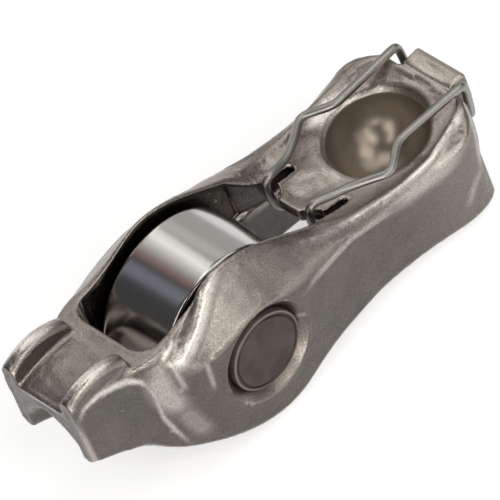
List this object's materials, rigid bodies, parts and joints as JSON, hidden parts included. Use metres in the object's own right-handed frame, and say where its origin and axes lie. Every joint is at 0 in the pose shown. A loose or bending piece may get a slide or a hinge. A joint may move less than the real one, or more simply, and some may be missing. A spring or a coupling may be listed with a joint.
{
  "type": "rocker arm",
  "caption": "Roller finger follower: a forged steel arm with a valve pad, a needle-bearing cam roller, a ball socket and a wire retaining clip.",
  "frame": {"origin": "centre of the axle pin, midway between the walls", "axes": "+X from the valve end to the pivot socket, +Y along the axle pin, +Z the way the socket's mouth faces"},
  "size_m": [0.0523, 0.0176, 0.0189],
  "materials": {
    "forged_steel": "matte",
    "pin_steel": "satin",
    "roller_steel": "polished",
    "needle_steel": "polished",
    "spring_wire": "satin"
  },
  "bodies": {
    "arm": {"arm": "forged_steel", "axle_pin": "pin_steel", "retaining_clip": "spring_wire"},
    "roller": {"roller": "roller_steel"},
    "needles": {"needle_01": "needle_steel", "needle_02": "needle_steel", "needle_03": "needle_steel", "needle_04": "needle_steel", "needle_05": "needle_steel", "needle_06": "needle_steel", "needle_07": "needle_steel", "needle_08": "needle_steel", "needle_09": "needle_steel", "needle_10": "needle_steel", "needle_11": "needle_steel", "needle_12": "needle_steel", "needle_13": "needle_steel", "needle_14": "needle_steel", "needle_15": "needle_steel", "needle_16": "needle_steel", "needle_17": "needle_steel", "needle_18": "needle_steel", "needle_19": "needle_steel"}
  },
  "joints": [
    {"name": "roller_spin", "type": "hinge", "parent": "arm", "child": "roller", "pos_m": [0, 0, 0], "axis": [0, 1, 0], "continuous": true},
    {"name": "needle_orbit", "type": "hinge", "parent": "arm", "child": "needles", "pos_m": [0, 0, 0], "axis": [0, 1, 0], "continuous": true}
  ],
  "couplings": [
    {"joint": "needle_orbit", "follows": "roller_spin", "ratio": 0.582}
  ]
}
